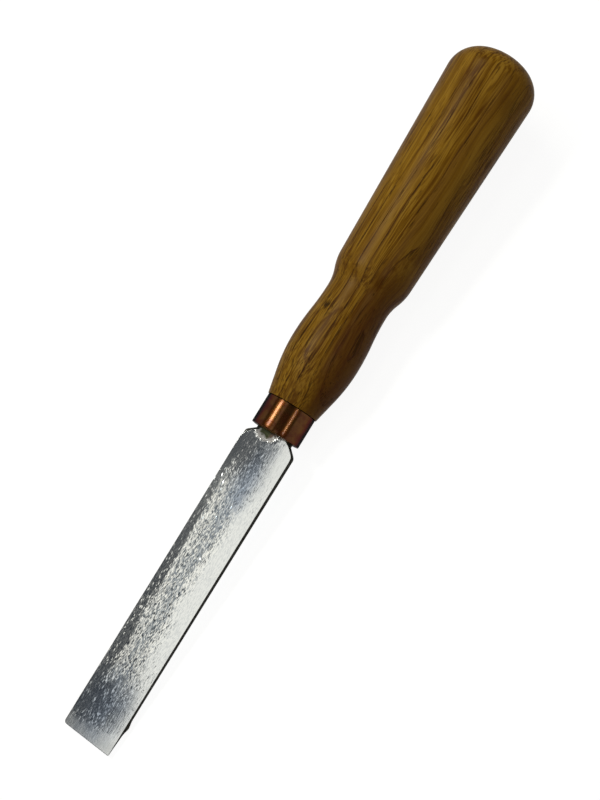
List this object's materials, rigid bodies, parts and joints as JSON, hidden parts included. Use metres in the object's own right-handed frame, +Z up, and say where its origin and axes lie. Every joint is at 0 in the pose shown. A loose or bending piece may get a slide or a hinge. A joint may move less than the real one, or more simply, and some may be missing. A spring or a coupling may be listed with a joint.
{
  "type": "carving chisel",
  "caption": "Flat straight-edged carving chisel: tanged steel blade bevelled underneath, copper ferrule and a turned oak handle with swell, waist and domed butt.",
  "frame": {"origin": "below the middle of the tool's length, level with the lowest point of the handle", "axes": "+X along the tool towards the cutting edge, +Z up out of the blade's flat face, +Y across the blade"},
  "size_m": [0.2664, 0.0328, 0.0328],
  "materials": {
    "steel": "satin, hammered and ground along the blade",
    "copper": "turned copper, slightly tarnished",
    "oak": "oiled, satin"
  },
  "bodies": {
    "root": {"blade": "steel", "ferrule": "copper", "handle": "oak"}
  },
  "joints": []
}
